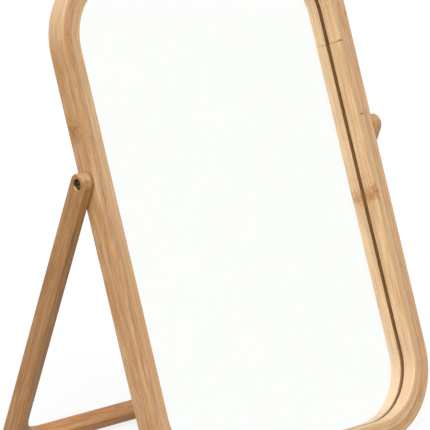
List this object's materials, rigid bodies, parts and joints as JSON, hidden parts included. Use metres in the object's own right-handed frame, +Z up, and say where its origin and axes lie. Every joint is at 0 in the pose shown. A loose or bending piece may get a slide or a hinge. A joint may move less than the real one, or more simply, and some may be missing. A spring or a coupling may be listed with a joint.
{
  "type": "swivel cosmetic mirror",
  "caption": "Table mirror with a rounded rectangular bent-bamboo frame that leans on a U-shaped bamboo stand, which turns on two recessed side screws.",
  "frame": {"origin": "on the table, under the middle of the standing object's box", "axes": "+Z up, +X to the right of someone looking into the mirror, +Y away from them, to the back"},
  "size_m": [0.268, 0.171, 0.3378],
  "materials": {
    "bamboo_light": "sanded, clear matt lacquer",
    "bamboo_dark": "sanded, clear matt lacquer",
    "bamboo_stand": "sanded, clear matt lacquer",
    "float_glass": "polished",
    "silver": "silvered",
    "adhesive_tape": "adhesive tape",
    "hardboard": "smooth hardboard",
    "zinc_steel": "zinc plated",
    "black_steel": "black oxide",
    "brass": "turned",
    "nylon": "moulded"
  },
  "bodies": {
    "mirror": {"frame_ply_inner": "bamboo_light", "frame_ply_second": "bamboo_light", "frame_ply_third": "bamboo_dark", "frame_ply_outer": "bamboo_dark", "mirror_glass": "float_glass", "mirror_silvering": "silver", "bedding_tape": "adhesive_tape", "backing_board": "hardboard", "glazing_points": "zinc_steel", "threaded_insert_left": "brass", "threaded_insert_right": "brass", "pivot_screw_left": "black_steel", "pivot_screw_right": "black_steel", "screw_washer_left": "black_steel", "screw_washer_right": "black_steel", "spacer_washer_left": "nylon", "spacer_washer_right": "nylon"},
    "stand": {"stand_leg_left": "bamboo_stand", "stand_leg_right": "bamboo_stand", "stand_rail": "bamboo_stand", "rail_dowels": "bamboo_stand"}
  },
  "joints": [
    {"name": "stand_pivot", "type": "hinge", "parent": "mirror", "child": "stand", "pos_m": [0, -0.00356, 0.20408], "axis": [1, 0, 0], "range_deg": [-38.3, 313.1]}
  ]
}
